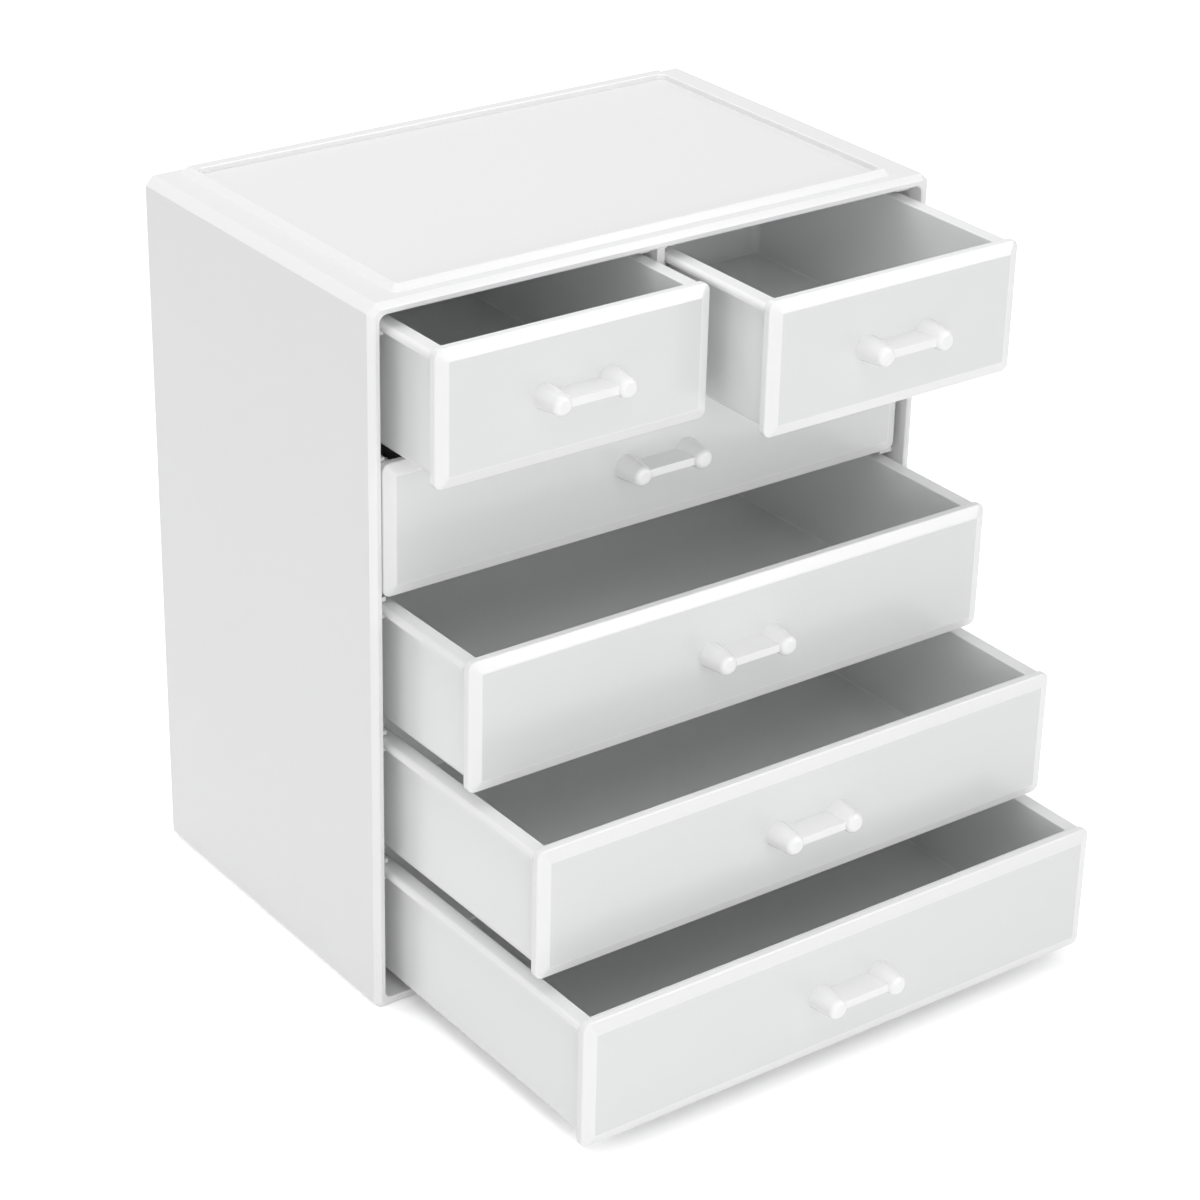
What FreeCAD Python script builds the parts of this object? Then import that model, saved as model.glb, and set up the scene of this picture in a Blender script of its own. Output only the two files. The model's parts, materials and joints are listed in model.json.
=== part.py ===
"""Desktop organizer: a bevelled case with six drawers, two small ones over four of full width.

Millimetres, +Z up. The origin is under the middle of the case, on the surface it stands on.
The fronts face -Y and the drawers slide out along -Y. They are drawn where they stand at rest,
each pulled out by its own amount.
"""
import FreeCAD, Part
import math
import os
from types import SimpleNamespace

import Sketcher

SIZES = {
    # Case
    "case_width": 240,
    "case_depth": 149,
    "side_wall": 4,
    "top_thick": 4,
    "base_thick": 4,
    "back_thick": 3,
    "back_rebate": 2,
    "back_radius": 4,
    "corner_bevel": 3.2,
    "foot_bevel": 2.4,
    "front_bevel": 2,
    "rear_bevel": 1,
    "opening_radius": 3,
    "opening_bevel": 0.5,
    "edge_soften": 0.5,
    # Seams between the side mouldings and the top and bottom panels
    "return_width": 13,
    "lap_width": 6,
    "lap_thick": 1.6,
    # Raised rim on the top
    "rim_height": 2.2,
    "rim_slope": 45,
    "rim_flat": 1.2,
    "rim_rear_flat": 4.3,
    "rim_front_ledge": 5.9,
    "rim_rear_ledge": 2.2,
    "rim_radius": 3,
    # Gaps around the drawer fronts
    "edge_gap": 2.95,
    "row_gap": 2.4,
    "side_gap": 2.5,
    "centre_gap": 4.8,
    # Drawer fronts
    "plate_height": 49.6,
    "plate_thick": 4.6,
    "plate_recess": 2,
    "plate_radius": 3,
    "plate_bevel_width": 4.4,
    "plate_bevel_depth": 1.7,
    "face_radius": 0.6,
    "plate_soften": 0.6,
    "face_soften": 1.4,
    # Trays
    "tray_wall": 2.4,
    "tray_floor": 2,
    "tray_lift": 0.6,
    "rim_drop": 1.5,
    "tray_radius": 3,
    "floor_radius": 0.6,
    "rear_gap": 2.5,
    "flange_reach": 4.2,
    "flange_thick": 2.5,
    "flange_round": 1.8,
    "flange_corner": 3,
    "flange_rear_reach": 1.5,
    "lip_soften": 0.5,
    # Rails that carry the trays
    "rail_gap": 1,
    "rail_thick": 2.8,
    "rail_play": 0.3,
    "rail_setback": 0.6,
    "keeper_play": 0.8,
    "keeper_thick": 1.6,
    # Divider between the two small drawers
    "divider_thick": 3.2,
    "divider_setback": 3,
    "divider_lift": 2,
    "top_tongue": 1.5,
    "rear_tongue": 1.2,
    # Handles
    "post_pitch": 26.6,
    "post_length": 11.5,
    "post_base": 9.5,
    "post_tip": 7.2,
    "post_round": 2,
    "web_thick": 3,
    "web_setback": 1.8,
    "spigot_width": 4,
    "spigot_play": 0.2,
    "head_width": 7,
    "head_thick": 1.2,
    # How far each drawer stands open
    "open_top_left": 31.5,
    "open_top_right": 57.5,
    "open_row_2": 0,
    "open_row_3": 51.5,
    "open_row_4": 92,
    "open_row_5": 119.5,
}
ROWS = 5
NEAR = 1e-4

doc = FreeCAD.newDocument("Organizer")
sheet = doc.addObject("Spreadsheet::Sheet", "Sizes")
for cell_row, (size_name, size_number) in enumerate(SIZES.items(), 1):
    sheet.set(f"A{cell_row}", str(size_number))
    sheet.setAlias(f"A{cell_row}", size_name)
doc.recompute()


class Length:
    """Arithmetic on the sheet's cells, kept as the text of an expression."""

    def __init__(self, text):
        self.text = text

    def __str__(self):
        return self.text

    def __add__(self, other):
        return Length(f"({self} + {other})")

    def __radd__(self, other):
        return Length(f"({other} + {self})")

    def __sub__(self, other):
        return Length(f"({self} - {other})")

    def __mul__(self, other):
        return Length(f"({self} * {other})")

    def __rmul__(self, other):
        return Length(f"({other} * {self})")

    def __truediv__(self, other):
        return Length(f"({self} / {other})")

    def __neg__(self):
        return Length(f"(0 - {self})")


def value(length):
    """The number that a length comes to."""
    return float(sheet.evalExpression(str(length)))


S = SimpleNamespace(**{name: Length(f"Sizes.{name}") for name in SIZES})

# Case, seen from the front: x from its middle, z from its base
half = S.case_width / 2
inner = half - S.side_wall
seam = half - S.return_width
shelf = seam - S.lap_width
ceiling = S.base_thick + 2 * S.edge_gap + ROWS * S.plate_height + (ROWS - 1) * S.row_gap
height = ceiling + S.top_thick

# Case, from front to back
front = -S.case_depth / 2
back = S.case_depth / 2
panel_front = back - S.back_thick

# Drawers, measured back from the case's front plane with the drawer shut
plate_face = S.plate_recess
plate_rear = plate_face + S.plate_thick
tray_rear = S.case_depth - S.back_thick - S.rear_gap
tray_rim = S.plate_height - S.rim_drop
plate_half = inner - S.side_gap
rail_start = front + plate_rear + S.rail_setback


def plate_low(row):
    """The bottom of the drawer fronts in a row, counted from 0 at the top."""
    return ceiling - S.edge_gap - S.plate_height - row * (S.plate_height + S.row_gap)


def rail_top(row):
    """The top of the rails in a row, just under the tray's flange."""
    return plate_low(row) + tray_rim - S.flange_thick - S.rail_play


def keeper_low(row):
    """The underside of the ribs that hold the tray's flange down."""
    return plate_low(row) + tray_rim + S.keeper_play


def new_body(label, place=(0, 0, 0)):
    """A body that stands at a place given as lengths."""
    body = doc.addObject("PartDesign::Body", label)
    body.Label = label
    for axis, length in zip("xyz", place):
        body.setExpression(f"Placement.Base.{axis}", str(length))
    return body


def new_sketch(body, name, plane, station, sideways=0):
    """A sketch parallel to an origin plane of its body, at a station along that plane's axis."""
    sketch = body.newObject("Sketcher::SketchObject", name)
    support = [part for part in body.Origin.OriginFeatures if part.Role == f"{plane}_Plane"]
    sketch.AttachmentSupport = [(support[0], "")]
    sketch.MapMode = "FlatFace"
    along_normal = f"0 - {station}" if plane == "XZ" else str(station)
    sketch.setExpression("AttachmentOffset.Base.z", along_normal)
    sketch.setExpression("AttachmentOffset.Base.x", str(sideways))
    doc.recompute()
    return sketch


def bind(sketch, kind, name, length, *places):
    """A constraint with a name, driven by a length."""
    index = sketch.addConstraint(Sketcher.Constraint(kind, *places, value(length)))
    sketch.renameConstraint(index, name)
    sketch.setExpression(f"Constraints.{name}", str(length))


def polygon(sketch, name, points):
    """A closed outline through points, each given as two lengths."""
    first = sketch.GeometryCount
    corners = [FreeCAD.Vector(value(x), value(y), 0) for x, y in points]
    for start, end in zip(corners, corners[1:] + corners[:1]):
        sketch.addGeometry(Part.LineSegment(start, end), False)
    for number, (x, y) in enumerate(points):
        line = first + number
        following = first + (number + 1) % len(points)
        sketch.addConstraint(Sketcher.Constraint("Coincident", line, 2, following, 1))
        bind(sketch, "DistanceX", f"{name}_x{number}", x, -1, 1, line, 1)
        bind(sketch, "DistanceY", f"{name}_y{number}", y, -1, 1, line, 1)


def rectangle(sketch, name, left, right, low, high):
    """A rectangle between four lengths."""
    polygon(sketch, name, [(left, low), (right, low), (right, high), (left, high)])


def rounded_rectangle(sketch, left, right, low, high, radius):
    """A rectangle between four lengths with round corners, anticlockwise from its lower left."""
    x0, x1, y0, y1, r = (value(length) for length in (left, right, low, high, radius))
    centres = [(x0 + r, y0 + r), (x1 - r, y0 + r), (x1 - r, y1 - r), (x0 + r, y1 - r)]
    ends = []
    for number, (x, y) in enumerate(centres):
        start = math.pi + number * math.pi / 2
        circle = Part.Circle(FreeCAD.Vector(x, y, 0), FreeCAD.Vector(0, 0, 1), r)
        arc = Part.ArcOfCircle(circle, start, start + math.pi / 2)
        sketch.addGeometry(arc, False)
        ends.append((arc.StartPoint, arc.EndPoint))
    for number in range(4):
        sketch.addGeometry(Part.LineSegment(ends[number][1], ends[(number + 1) % 4][0]), False)
    for number in range(4):
        line = 4 + number
        sketch.addConstraint(Sketcher.Constraint("Tangent", number, 2, line, 1))
        sketch.addConstraint(Sketcher.Constraint("Tangent", line, 2, (number + 1) % 4, 1))
        sketch.addConstraint(Sketcher.Constraint("Vertical" if number % 2 else "Horizontal", line))
    for number in range(3):
        sketch.addConstraint(Sketcher.Constraint("Equal", number, number + 1))
    bind(sketch, "Radius", "radius", radius, 0)
    bind(sketch, "DistanceY", "low", low, -1, 1, 4, 1)
    bind(sketch, "DistanceX", "right", right, -1, 1, 5, 1)
    bind(sketch, "DistanceY", "high", high, -1, 1, 6, 1)
    bind(sketch, "DistanceX", "left", left, -1, 1, 7, 1)


def circle(sketch, name, x, y, width):
    """A circle about a point given as two lengths."""
    centre = FreeCAD.Vector(value(x), value(y), 0)
    index = sketch.addGeometry(
        Part.Circle(centre, FreeCAD.Vector(0, 0, 1), value(width) / 2), False)
    bind(sketch, "DistanceX", f"{name}_x", x, -1, 1, index, 3)
    bind(sketch, "DistanceY", f"{name}_y", y, -1, 1, index, 3)
    bind(sketch, "Diameter", f"{name}_width", width, index)


def extrude(kind, name, sketch, length, toward):
    """A pad or pocket from a sketch toward +1 or -1 along the axis that the sketch faces."""
    body = sketch.getParentGeoFeatureGroup()
    before = body.Shape.Volume if body.Tip else 0
    facing = round(sum(sketch.Placement.Rotation.multVec(FreeCAD.Vector(0, 0, 1))))
    feature = body.newObject(f"PartDesign::{kind}", name)
    feature.Profile = sketch
    feature.setExpression("Length", str(length))
    usual = facing if kind == "Pad" else -facing
    feature.Reversed = toward != usual
    doc.recompute()
    change = body.Shape.Volume - before
    if (change > 0) != (kind == "Pad") or abs(change) < NEAR:
        raise RuntimeError(f"{body.Label}: {name} changed the volume by {change}")
    return feature


def lies(axis, place):
    """A test for edges that lie flat where a coordinate has one value."""
    level = value(place)

    def test(box):
        low, high = getattr(box, f"{axis}Min"), getattr(box, f"{axis}Max")
        return abs(low - level) < NEAR and abs(high - level) < NEAR
    return test


def reaches(side, place):
    """A test for edges whose box has one of its six limits at a place."""
    level = value(place)
    return lambda box: abs(getattr(box, side) - level) < NEAR


def dress(body, kind, name, size, keep):
    """A chamfer or fillet along the edges of the body's tip that pass a test."""
    base = body.Tip
    names = [f"Edge{i}" for i, edge in enumerate(base.Shape.Edges, 1) if keep(edge.BoundBox)]
    if not names:
        raise RuntimeError(f"{body.Label}: {name} finds no edge")
    feature = body.newObject(f"PartDesign::{kind}", name)
    feature.Base = (base, names)
    feature.setExpression("Radius" if kind == "Fillet" else "Size", str(size))
    doc.recompute()
    return feature


def borders_opening(box):
    """A test for edges on the border of the opening in the case's front."""
    side = max(abs(box.XMin), abs(box.XMax))
    within = side < value(inner) + NEAR
    return within and box.ZMin > value(S.base_thick) - NEAR and box.ZMax < value(ceiling) + NEAR


def bevel_ends(body, outside):
    """Bevels round the front and rear of a case piece, along edges that pass a test."""
    for name, place, size in (
            ("FrontBevel", front, S.front_bevel), ("RearBevel", back, S.rear_bevel)):
        in_plane = lies("Y", place)
        dress(body, "Chamfer", name, size, lambda box: in_plane(box) and outside(box))


def cut_rebate(body):
    """The step at the rear that the back panel lies in."""
    sketch = new_sketch(body, "RebateOutline", "XZ", panel_front)
    rear_outline(sketch)
    extrude("Pocket", "Rebate", sketch, S.back_thick, 1)


def rear_outline(sketch):
    """The outline of the back panel and of the step that takes it."""
    reach = inner + S.back_rebate
    low = S.base_thick - S.back_rebate
    rounded_rectangle(sketch, -reach, reach, low, ceiling + S.back_rebate, S.back_radius)


def case_side(label, hand):
    """A side wall with returns along the top and bottom, and the rails inside; hand is -1 or 1."""
    body = new_body(label)
    step_low = S.base_thick - S.lap_thick
    step_high = ceiling + S.lap_thick
    sketch = new_sketch(body, "Section", "XZ", front)
    polygon(sketch, "section", [
        (hand * half, Length("0")),
        (hand * half, height),
        (hand * seam, height),
        (hand * seam, step_high),
        (hand * shelf, step_high),
        (hand * shelf, ceiling),
        (hand * inner, ceiling),
        (hand * inner, S.base_thick),
        (hand * shelf, S.base_thick),
        (hand * shelf, step_low),
        (hand * seam, step_low),
        (hand * seam, Length("0"))])
    extrude("Pad", "Wall", sketch, S.case_depth, 1)

    on_inner = lies("X", hand * inner)
    at_floor = lies("Z", S.base_thick)
    at_ceiling = lies("Z", ceiling)
    dress(body, "Fillet", "InnerCorners", S.opening_radius,
          lambda box: on_inner(box) and (at_floor(box) or at_ceiling(box)))
    on_outer = lies("X", hand * half)
    at_top = lies("Z", height)
    at_base = lies("Z", 0)
    dress(body, "Chamfer", "TopCorner", S.corner_bevel, lambda box: on_outer(box) and at_top(box))
    dress(body, "Chamfer", "FootCorner", S.foot_bevel, lambda box: on_outer(box) and at_base(box))

    on_seam = lies("X", hand * seam)
    at_outermost = reaches("XMax" if hand > 0 else "XMin", hand * half)
    bevel_ends(body, lambda box: at_outermost(box) or at_top(box) or at_base(box))

    in_front = lies("Y", front)
    in_bevel = lies("Y", front + S.front_bevel)
    beyond_seam = value(seam) - NEAR

    def on_bevels(box):
        """A test for the long outer edges and both edges of the front bevel."""
        if on_seam(box) or min(abs(box.XMin), abs(box.XMax)) < beyond_seam:
            return False
        lengthwise = box.YLength > box.XLength and (on_outer(box) or at_top(box) or at_base(box))
        return lengthwise or in_bevel(box) or in_front(box) and not borders_opening(box)
    dress(body, "Fillet", "SoftBevels", S.edge_soften, on_bevels)
    dress(body, "Chamfer", "OpeningEdge", S.opening_bevel,
          lambda box: in_front(box) and borders_opening(box))
    cut_rebate(body)

    rails = new_sketch(body, "RailSections", "XZ", rail_start)
    tip = hand * (plate_half - S.flange_reach + S.rail_gap)
    for row in range(ROWS):
        top = rail_top(row)
        rectangle(rails, f"rail{row}", hand * inner, tip, top - S.rail_thick, top)
        low = keeper_low(row)
        high = ceiling if row == 0 else low + S.keeper_thick
        rectangle(rails, f"keeper{row}", hand * inner, tip, low, high)
    extrude("Pad", "Rails", rails, panel_front - rail_start, 1)
    return body


def panel(label, inside, outside, up):
    """A panel lapped over the side mouldings, from its inner face to its outer; up is -1 or 1."""
    body = new_body(label)
    step = inside + up * S.lap_thick
    sketch = new_sketch(body, "Section", "XZ", front)
    polygon(sketch, "section", [
        (-shelf, inside), (shelf, inside), (shelf, step), (seam, step),
        (seam, outside), (-seam, outside), (-seam, step), (-shelf, step)])
    extrude("Pad", "Sheet", sketch, S.case_depth, 1)

    at_outside = lies("Z", outside)
    bevel_ends(body, at_outside)
    in_front = lies("Y", front)
    in_bevel = lies("Y", front + S.front_bevel)
    at_bevel_foot = lies("Z", outside - up * S.front_bevel)
    dress(body, "Fillet", "SoftBevel", S.edge_soften,
          lambda box: in_bevel(box) and at_outside(box) or in_front(box) and at_bevel_foot(box))
    dress(body, "Chamfer", "OpeningEdge", S.opening_bevel,
          lambda box: in_front(box) and borders_opening(box))
    return body


def case_top():
    """The top panel with its raised rim and, underneath, the groove for the divider."""
    body = panel("case_top", ceiling, height, 1)

    rim_front = front + S.rim_front_ledge
    rim_back = back - S.rim_rear_ledge
    foot = new_sketch(body, "RimFoot", "XY", height)
    rounded_rectangle(foot, -seam, seam, rim_front, rim_back, S.rim_radius)
    rim = extrude("Pad", "Rim", foot, S.rim_height, 1)
    rim.setExpression("TaperAngle", str(-S.rim_slope))
    doc.recompute()

    hollow = new_sketch(body, "HollowOutline", "XY", height + S.rim_height)
    run = Length(f"{S.rim_height} * tan({S.rim_slope} * 1 deg)")
    inset = run + S.rim_flat
    rear_inset = run + S.rim_rear_flat
    rounded_rectangle(hollow, -(seam - inset), seam - inset, rim_front + inset,
                      rim_back - rear_inset, S.rim_radius)
    extrude("Pocket", "Hollow", hollow, S.rim_height, -1)
    dress(body, "Fillet", "SoftRim", S.edge_soften, lies("Z", height + S.rim_height))

    groove = new_sketch(body, "GrooveOutline", "XY", ceiling)
    side = S.divider_thick / 2
    rectangle(groove, "groove", -side, side, front + S.divider_setback, panel_front)
    extrude("Pocket", "Groove", groove, S.top_tongue, 1)

    cut_rebate(body)
    return body


def case_bottom():
    """The bottom panel."""
    body = panel("case_bottom", S.base_thick, Length("0"), -1)
    cut_rebate(body)
    return body


def case_back():
    """The back panel, with the groove for the divider's rear tongue."""
    body = new_body("case_back")
    sketch = new_sketch(body, "Outline", "XZ", panel_front)
    rear_outline(sketch)
    extrude("Pad", "Sheet", sketch, S.back_thick, 1)
    groove = new_sketch(body, "GrooveOutline", "XZ", panel_front)
    side = S.divider_thick / 2
    rectangle(groove, "groove", -side, side, plate_low(0) + S.divider_lift, ceiling)
    extrude("Pocket", "Groove", groove, S.rear_tongue, 1)
    return body


def case_divider():
    """The upright between the small drawers, with a rail and a keeper rib on each side."""
    body = new_body("case_divider")
    low = plate_low(0) + S.divider_lift
    nose = front + S.divider_setback
    side = S.divider_thick / 2
    outline = new_sketch(body, "Outline", "YZ", -side)
    polygon(outline, "outline", [
        (nose, low), (panel_front + S.rear_tongue, low), (panel_front + S.rear_tongue, ceiling),
        (panel_front, ceiling), (panel_front, ceiling + S.top_tongue),
        (nose, ceiling + S.top_tongue)])
    extrude("Pad", "Sheet", outline, S.divider_thick, 1)

    tip = S.centre_gap / 2 + S.flange_reach - S.rail_gap
    top = rail_top(0)
    rails = new_sketch(body, "RailSections", "XZ", rail_start)
    for name, hand in (("left", -1), ("right", 1)):
        rectangle(rails, f"{name}_rail", hand * side, hand * tip, top - S.rail_thick, top)
        rectangle(rails, f"{name}_keeper", hand * side, hand * tip, keeper_low(0), ceiling)
    extrude("Pad", "Rails", rails, panel_front - rail_start, 1)
    return body


def drawer_front(label, place, reach):
    """A bevelled front plate with two holes for the handle; reach is half its width."""
    body = new_body(label, place)
    bevel_rear = plate_face + S.plate_bevel_depth
    outline = new_sketch(body, "Outline", "XZ", bevel_rear)
    rounded_rectangle(outline, -reach, reach, Length("0"), S.plate_height, S.plate_radius)
    extrude("Pad", "Plate", outline, S.plate_thick - S.plate_bevel_depth, 1)

    face = new_sketch(body, "FaceOutline", "XZ", plate_face)
    face_half = reach - S.plate_bevel_width
    rounded_rectangle(face, -face_half, face_half, S.plate_bevel_width,
                      S.plate_height - S.plate_bevel_width, S.face_radius)
    bevel = body.newObject("PartDesign::AdditiveLoft", "Bevel")
    bevel.Profile = outline
    bevel.Sections = [face]
    bevel.Ruled = True
    doc.recompute()
    for name, station, size in (
            ("SoftFace", plate_face, S.face_soften),
            ("SoftEdge", bevel_rear, S.plate_soften),
            ("SoftRear", plate_rear, S.edge_soften)):
        dress(body, "Fillet", name, size, lies("Y", station))

    holes = new_sketch(body, "HoleCentres", "XZ", plate_face)
    spigot_holes(holes)
    extrude("Pocket", "Holes", holes, S.plate_thick, 1)
    return body


def spigot_holes(sketch):
    """The two holes that the handle's spigots pass through."""
    for name, hand in (("left", -1), ("right", 1)):
        circle(sketch, name, hand * S.post_pitch / 2, S.plate_height / 2,
               S.spigot_width + S.spigot_play)


def drawer_tray(label, place, reach):
    """An open tray flanged at its sides and rear, its rim a little below the front's top edge.

    Reach is half the width over the flanges.
    """
    body = new_body(label, place)
    outer = reach - S.flange_reach
    wall_rear = tray_rear - S.flange_rear_reach
    outline = new_sketch(body, "Outline", "XY", S.tray_lift)
    rounded_rectangle(outline, -outer, outer, plate_rear, wall_rear, S.tray_radius + S.tray_wall)
    extrude("Pad", "Block", outline, tray_rim - S.tray_lift, 1)
    at_bottom = lies("Z", S.tray_lift)
    dress(body, "Fillet", "Foot", S.floor_radius + S.tray_floor, at_bottom)

    flange = new_sketch(body, "FlangeOutline", "XY", tray_rim - S.flange_thick)
    rectangle(flange, "flange", -reach, reach, plate_rear, tray_rear)
    extrude("Pad", "Flange", flange, S.flange_thick, 1)
    on_rear = lies("Y", tray_rear)
    on_left = lies("X", -reach)
    on_right = lies("X", reach)
    dress(body, "Fillet", "FlangeCorners", S.flange_corner,
          lambda box: on_rear(box) and (on_left(box) or on_right(box)))
    at_rim = lies("Z", tray_rim)
    at_plate = lies("Y", plate_rear)
    dress(body, "Fillet", "FlangeRound", S.flange_round,
          lambda box: at_rim(box) and not at_plate(box))

    inside = outer - S.tray_wall
    inside_rear = wall_rear - S.tray_wall
    hollow = new_sketch(body, "HollowOutline", "XY", tray_rim)
    rectangle(hollow, "hollow", -inside, inside, plate_rear + S.tray_wall, inside_rear)
    extrude("Pocket", "Hollow", hollow, tray_rim - S.tray_lift - S.tray_floor, -1)
    at_inside_rear = lies("Y", inside_rear)
    dress(body, "Fillet", "RearCorners", S.tray_radius,
          lambda box: at_inside_rear(box) and box.ZLength > box.XLength)
    lip_side = value(inside) + NEAR
    lip_rear = value(inside_rear) + NEAR
    dress(body, "Fillet", "Lip", S.lip_soften,
          lambda box: at_rim(box) and not at_plate(box) and box.YMax < lip_rear
          and -lip_side < box.XMin and box.XMax < lip_side)
    at_floor = lies("Z", S.tray_lift + S.tray_floor)
    dress(body, "Fillet", "FloorCorners", S.floor_radius, at_floor)

    holes = new_sketch(body, "HoleCentres", "XZ", plate_rear)
    spigot_holes(holes)
    extrude("Pocket", "Holes", holes, S.tray_wall, 1)
    return body


def drawer_handle(label, place):
    """Two tapered posts with round ends, joined by a web and staked behind the tray's front wall."""
    body = new_body(label, place)
    middle = S.plate_height / 2
    tip = plate_face - S.post_length
    wall_inside = plate_rear + S.tray_wall
    profile = new_sketch(body, "PostProfile", "XY", middle, S.post_pitch / 2)
    polygon(profile, "post", [
        (Length("0"), tip),
        (S.post_tip / 2, tip),
        (S.post_base / 2, plate_face),
        (S.spigot_width / 2, plate_face),
        (S.spigot_width / 2, wall_inside),
        (S.head_width / 2, wall_inside),
        (S.head_width / 2, wall_inside + S.head_thick),
        (Length("0"), wall_inside + S.head_thick)])
    post = body.newObject("PartDesign::Revolution", "Post")
    post.Profile = profile
    post.ReferenceAxis = (profile, ["V_Axis"])
    doc.recompute()

    other = body.newObject("PartDesign::Mirrored", "OtherPost")
    other.Originals = [post]
    mirror = [part for part in body.Origin.OriginFeatures if part.Role == "YZ_Plane"]
    other.MirrorPlane = (mirror[0], [""])
    body.Tip = other
    doc.recompute()
    dress(body, "Fillet", "TipRound", S.post_round, lies("Y", tip))

    web = new_sketch(body, "WebOutline", "XY", middle - S.web_thick / 2)
    rectangle(web, "web", -S.post_pitch / 2, S.post_pitch / 2, tip + S.web_setback, plate_face)
    extrude("Pad", "Web", web, S.web_thick, 1)
    return body


def drawer(name, row, opened, hand=0):
    """The pieces of one drawer; hand is -1 or 1 for the small ones and 0 for full width."""
    if hand:
        reach = (plate_half - S.centre_gap / 2) / 2
        middle = hand * (plate_half + S.centre_gap / 2) / 2
    else:
        reach = plate_half
        middle = Length("0")
    place = (middle, front - opened, plate_low(row))
    return [
        drawer_front(f"{name}_front", place, reach),
        drawer_tray(f"{name}_tray", place, reach),
        drawer_handle(f"{name}_handle", place),
    ]


bodies = [
    case_side("case_side_left", -1),
    case_side("case_side_right", 1),
    case_top(),
    case_bottom(),
    case_back(),
    case_divider(),
]
bodies += drawer("drawer_top_left", 0, S.open_top_left, -1)
bodies += drawer("drawer_top_right", 0, S.open_top_right, 1)
bodies += drawer("drawer_row_2", 1, S.open_row_2)
bodies += drawer("drawer_row_3", 2, S.open_row_3)
bodies += drawer("drawer_row_4", 3, S.open_row_4)
bodies += drawer("drawer_row_5", 4, S.open_row_5)
doc.recompute()

for item in doc.Objects:
    if "Invalid" in item.State or "Error" in item.State:
        raise RuntimeError(f"{item.Label} failed: {item.State}")
for body in bodies:
    shape = body.Shape
    if shape.isNull() or not shape.isValid() or len(shape.Solids) != 1:
        raise RuntimeError(f"{body.Label} is not one valid solid")

os.makedirs("parts", exist_ok=True)
for body in bodies:
    body.Shape.exportStep(f"parts/{body.Label}.step")
    box = body.Shape.BoundBox
    print(f"{body.Label}: {box.XLength:.1f} x {box.YLength:.1f} x {box.ZLength:.1f}")
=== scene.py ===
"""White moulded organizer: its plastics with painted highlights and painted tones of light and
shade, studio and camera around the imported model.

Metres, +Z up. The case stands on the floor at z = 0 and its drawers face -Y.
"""
import json
import math

import bpy
from mathutils import Matrix, Vector

# The photograph's view, round a point in the object
AZIMUTH = -36.7
ELEVATION = 26.83
ROLL = 1.4
DISTANCE = 1.1593
AIM = (-0.0247, -0.0745, 0.1392)
FOCAL_LENGTH = 97.77
SENSOR_WIDTH = 36
FARTHEST_SEEN = 50

# Studio: the sky's strength as a light, and the floor's size and its tone as it is seen,
# which makes it white round the shadow, and as it sends light back
SKY_LIT = 0.45
SKY_SEEN = 1.0
FLOOR_SIZE = 4.4
FLOOR_SEEN = 1.65
FLOOR_LIT = 0.9

# Each softbox by its direction from AIM, its distance, width, height and watts. The card
# only shows as a highlight along the fronts' upper edges.
SOFTBOXES = {
    "overhead_softbox": ((-0.1, 0.35, 1.0), 1.7, 1.4, 1.4, 11.5),
    "left_softbox": ((-0.85, 0.1, 0.5), 1.8, 1.3, 1.1, 2.5),
    "low_front_softbox": ((-0.1, -0.97, 0.2), 1.8, 1.8, 0.7, 10.5),
    "upper_front_softbox": ((-0.2, -0.6, 0.8), 1.8, 0.8, 0.8, 2.5),
}
REFLECTED_CARD = ((0.55, -0.667, 0.503), 1.6, 0.8, 1.35, 17.0)

# The moulded plastic: faint clouds in its tone and gloss, and a slight ripple in its skin
PLASTIC_IOR = 1.5
CLOUD_SCALE = 9
CLOUD_DETAIL = 3
CLOUD_SHADE = 0.985
GLOSS_SPREAD = 0.15
RIPPLE_SCALE = 45
RIPPLE_DETAIL = 2
RIPPLE_DEPTH = 0.0004

# Where the painted edge highlight begins: the axes that flat faces look along, and the turns from
# them, in degrees, between which the tone goes to the painted highlight's
EDGE_HIGHLIGHT_BOUNDS = ("XYZ", 5, 20)
BEVEL_HIGHLIGHT_BOUNDS = ("Y", 2, 8)

# Each finish by its tone, its edges' painted highlight tone, roughness, ripple and where the
# painted highlight begins
# Painted highlights: tones paler than the faces along the rounded edges and the fronts' bevels
PAINTED_EDGE_HIGHLIGHT = (0.96, 0.96, 0.96)
PAINTED_BEVEL_HIGHLIGHT = (0.92, 0.92, 0.92)
# The tones of this one white plastic differ as painted light and shade: the front's low tone is
# painted shade, the tray's and handle's high tones are painted light
FINISHES_AND_PAINTED_TONES = {
    "case": ((0.89, 0.89, 0.895), PAINTED_EDGE_HIGHLIGHT, 0.2, 0.15, EDGE_HIGHLIGHT_BOUNDS),
    "front": ((0.8, 0.805, 0.805), PAINTED_BEVEL_HIGHLIGHT, 0.14, 0.1, BEVEL_HIGHLIGHT_BOUNDS),
    "tray": ((0.92, 0.925, 0.925), PAINTED_EDGE_HIGHLIGHT, 0.22, 0.15, EDGE_HIGHLIGHT_BOUNDS),
    "handle": ((0.95, 0.95, 0.95), PAINTED_EDGE_HIGHLIGHT, 0.16, 0.1, EDGE_HIGHLIGHT_BOUNDS),
}


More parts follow.
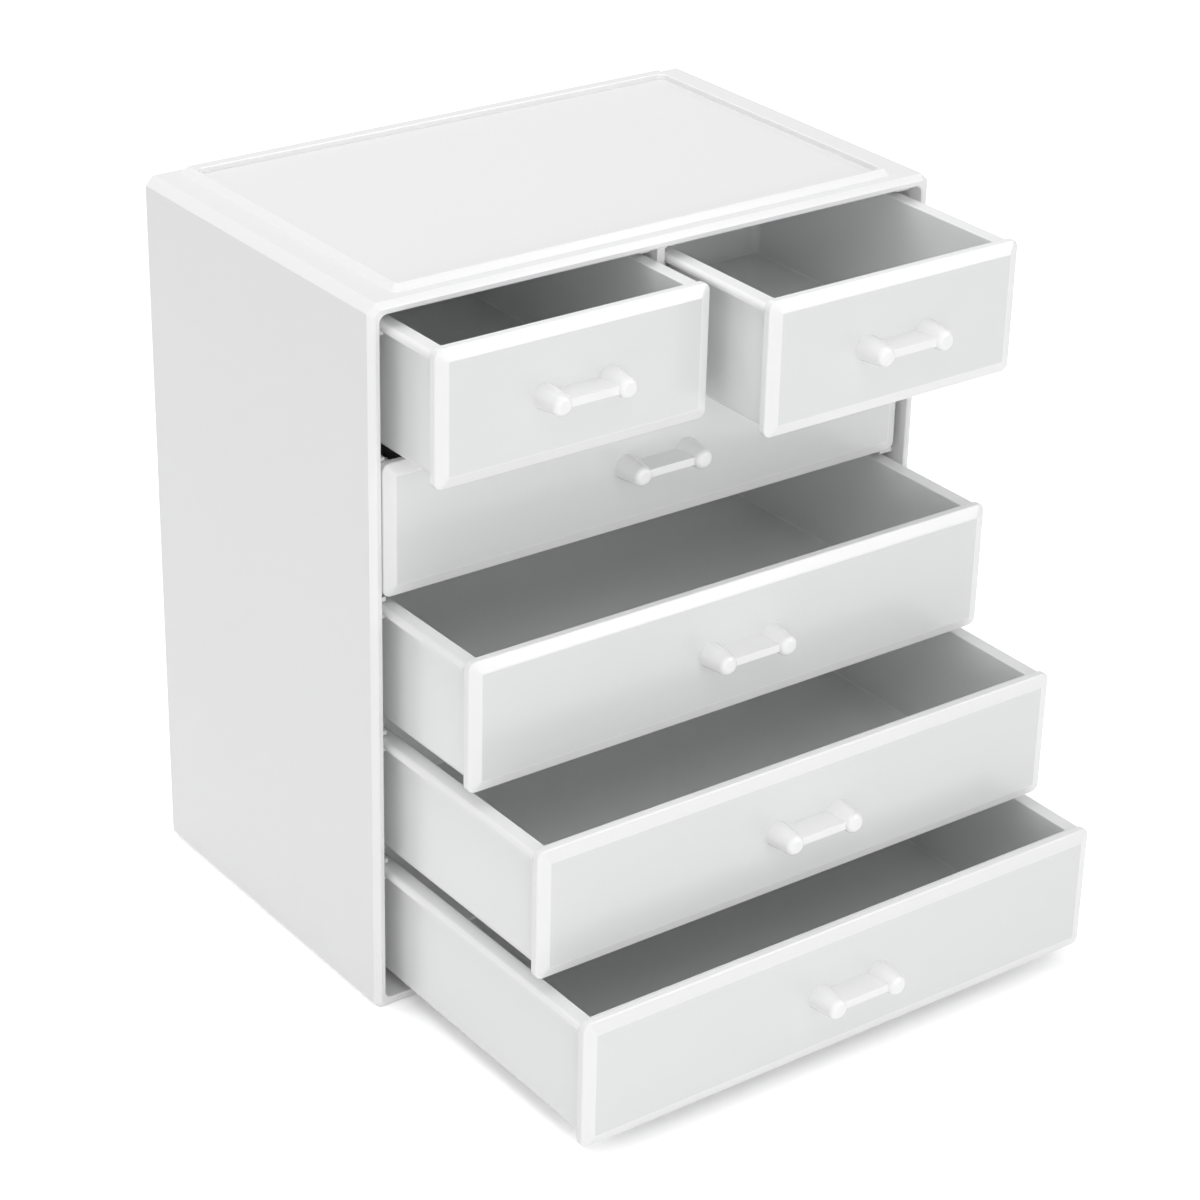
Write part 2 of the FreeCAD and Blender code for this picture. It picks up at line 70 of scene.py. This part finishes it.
def camera_at_photo():
    """The camera on a sphere round AIM, rolled about its line of sight."""
    azimuth, elevation, roll = (math.radians(a) for a in (AZIMUTH, ELEVATION, ROLL))
    back = Vector((math.sin(azimuth) * math.cos(elevation),
                   -math.cos(azimuth) * math.cos(elevation),
                   math.sin(elevation)))
    level = Vector((0, 0, 1)).cross(back).normalized()
    upright = back.cross(level)
    right = math.cos(roll) * level + math.sin(roll) * upright
    up = math.cos(roll) * upright - math.sin(roll) * level
    turn = Matrix((right, up, back)).transposed()
    data = bpy.data.cameras.new("photo_camera")
    data.sensor_width = SENSOR_WIDTH
    data.lens = FOCAL_LENGTH
    data.clip_end = FARTHEST_SEEN
    camera = bpy.data.objects.new("photo_camera", data)
    camera.matrix_world = Matrix.Translation(Vector(AIM) + back * DISTANCE) @ turn.to_4x4()
    bpy.context.scene.collection.objects.link(camera)
    bpy.context.scene.camera = camera


def softbox(name, toward, distance, width, height, watts):
    """An area light that faces the middle of the object."""
    data = bpy.data.lights.new(name, "AREA")
    data.shape = "RECTANGLE"
    data.size = width
    data.size_y = height
    data.energy = watts
    lamp = bpy.data.objects.new(name, data)
    middle = Vector(AIM)
    lamp.location = middle + Vector(toward).normalized() * distance
    lamp.rotation_euler = (lamp.location - middle).to_track_quat("Z", "Y").to_euler()
    bpy.context.scene.collection.objects.link(lamp)
    return lamp


def math_node(nodes, links, operation, *inputs):
    """The output of a Math node fed with sockets or numbers."""
    node = nodes.new("ShaderNodeMath")
    node.operation = operation
    for socket, given in zip(node.inputs, inputs):
        if isinstance(given, (int, float)):
            socket.default_value = given
        else:
            links.new(given, socket)
    return node.outputs[0]


def seen_or_lit(nodes, links, seen, lit):
    """A value that is one number where it is seen, straight or mirrored, and another for light."""
    path = nodes.new("ShaderNodeLightPath")
    looked_at = 0.0
    for ray in ("Is Camera Ray", "Is Glossy Ray", "Is Transmission Ray"):
        looked_at = math_node(nodes, links, "MAXIMUM", path.outputs[ray], looked_at)
    blend = nodes.new("ShaderNodeMix")
    blend.inputs["A"].default_value = lit
    blend.inputs["B"].default_value = seen
    links.new(looked_at, blend.inputs["Factor"])
    return blend.outputs["Result"]


def studio_sky():
    """An even sky that is white where it is seen."""
    world = bpy.data.worlds.new("studio")
    bpy.context.scene.world = world
    world.use_nodes = True
    nodes, links = world.node_tree.nodes, world.node_tree.links
    background = nodes["Background"]
    background.inputs["Color"].default_value = (1, 1, 1, 1)
    links.new(seen_or_lit(nodes, links, SKY_SEEN, SKY_LIT), background.inputs["Strength"])


def studio_floor():
    """A pale floor, paler where it is seen than for the light that it sends back."""
    reach = FLOOR_SIZE / 2
    mesh = bpy.data.meshes.new("studio_floor")
    corners = [(-reach, -reach, 0), (reach, -reach, 0), (reach, reach, 0), (-reach, reach, 0)]
    mesh.from_pydata(corners, [], [(0, 1, 2, 3)])
    floor = bpy.data.objects.new("studio_floor", mesh)
    bpy.context.scene.collection.objects.link(floor)
    material = bpy.data.materials.new("pale_floor")
    material.use_nodes = True
    nodes, links = material.node_tree.nodes, material.node_tree.links
    nodes.clear()
    shade = nodes.new("ShaderNodeBsdfDiffuse")
    output = nodes.new("ShaderNodeOutputMaterial")
    links.new(seen_or_lit(nodes, links, FLOOR_SEEN, FLOOR_LIT), shade.inputs["Color"])
    links.new(shade.outputs[0], output.inputs["Surface"])
    mesh.materials.append(material)


def turned_away(nodes, links, place, axes, gentle, steep):
    """How far the surface is turned from the nearest of some axes, from 0 to 1.

    The turn is the arc cosine of the normal's largest part along those axes, and the mask
    rises with it between gentle and steep, in degrees.
    """
    parts = nodes.new("ShaderNodeSeparateXYZ")
    links.new(place.outputs["Normal"], parts.inputs[0])
    largest = 0.0
    for axis in axes:
        size = math_node(nodes, links, "ABSOLUTE", parts.outputs[axis])
        largest = math_node(nodes, links, "MAXIMUM", size, largest)
    turn = math_node(nodes, links, "ARCCOSINE", largest)
    ramp = nodes.new("ShaderNodeMapRange")
    ramp.inputs["From Min"].default_value = math.radians(gentle)
    ramp.inputs["From Max"].default_value = math.radians(steep)
    links.new(turn, ramp.inputs["Value"])
    return ramp.outputs["Result"]


def moulded_white(name, tone, highlight_tone, roughness, ripple, edges):
    """Glossy opaque plastic: even white with faint clouds, a painted highlight on its edges and a
    slight ripple.
    """
    material = bpy.data.materials.new(name)
    material.use_nodes = True
    nodes, links = material.node_tree.nodes, material.node_tree.links
    shader = nodes["Principled BSDF"]
    shader.inputs["IOR"].default_value = PLASTIC_IOR
    place = nodes.new("ShaderNodeTexCoord")

    cloud = nodes.new("ShaderNodeTexNoise")
    cloud.inputs["Scale"].default_value = CLOUD_SCALE
    cloud.inputs["Detail"].default_value = CLOUD_DETAIL
    links.new(place.outputs["Object"], cloud.inputs["Vector"])
    body = nodes.new("ShaderNodeMix")
    body.data_type = "RGBA"
    body.inputs["A"].default_value = [part * CLOUD_SHADE for part in tone] + [1]
    body.inputs["B"].default_value = list(tone) + [1]
    links.new(cloud.outputs["Fac"], body.inputs["Factor"])
    # Painted highlight: where the surface turns from the flat faces, the tone goes to the paler
    # highlight tone
    highlighted_colour = nodes.new("ShaderNodeMix")
    highlighted_colour.data_type = "RGBA"
    highlighted_colour.inputs["B"].default_value = list(highlight_tone) + [1]
    links.new(body.outputs["Result"], highlighted_colour.inputs["A"])
    links.new(turned_away(nodes, links, place, *edges), highlighted_colour.inputs["Factor"])
    links.new(highlighted_colour.outputs["Result"], shader.inputs["Base Color"])

    haze = nodes.new("ShaderNodeMapRange")
    haze.inputs["To Min"].default_value = roughness * (1 - GLOSS_SPREAD)
    haze.inputs["To Max"].default_value = roughness * (1 + GLOSS_SPREAD)
    links.new(cloud.outputs["Fac"], haze.inputs["Value"])
    links.new(haze.outputs["Result"], shader.inputs["Roughness"])

    skin = nodes.new("ShaderNodeTexNoise")
    skin.inputs["Scale"].default_value = RIPPLE_SCALE
    skin.inputs["Detail"].default_value = RIPPLE_DETAIL
    links.new(place.outputs["Object"], skin.inputs["Vector"])
    bump = nodes.new("ShaderNodeBump")
    bump.inputs["Strength"].default_value = ripple
    bump.inputs["Distance"].default_value = RIPPLE_DEPTH
    links.new(skin.outputs["Fac"], bump.inputs["Height"])
    links.new(bump.outputs["Normal"], shader.inputs["Normal"])
    return material


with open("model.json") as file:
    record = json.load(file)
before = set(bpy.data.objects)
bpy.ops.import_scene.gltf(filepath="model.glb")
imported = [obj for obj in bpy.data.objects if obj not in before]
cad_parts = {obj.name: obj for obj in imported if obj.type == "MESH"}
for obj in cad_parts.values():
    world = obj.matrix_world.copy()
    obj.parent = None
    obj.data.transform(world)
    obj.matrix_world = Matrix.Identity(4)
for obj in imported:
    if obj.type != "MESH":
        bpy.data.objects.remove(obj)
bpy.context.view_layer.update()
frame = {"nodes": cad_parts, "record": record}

camera_at_photo()
studio_sky()
studio_floor()
for label, placing in SOFTBOXES.items():
    softbox(label, *placing)
softbox("reflected_card", *REFLECTED_CARD).visible_diffuse = False
bpy.context.scene.view_settings.view_transform = "Standard"

# Four copies of one plastic, whose different tones are painted light and shade
finishes_and_painted_tones = {slot: moulded_white(f"{slot}_plastic", *look) for slot, look in FINISHES_AND_PAINTED_TONES.items()}
for part in frame["record"]["subparts"]:
    node = frame["nodes"][part["node"]]
    node.data.materials.clear()
    node.data.materials.append(finishes_and_painted_tones[part["material_slot"]])
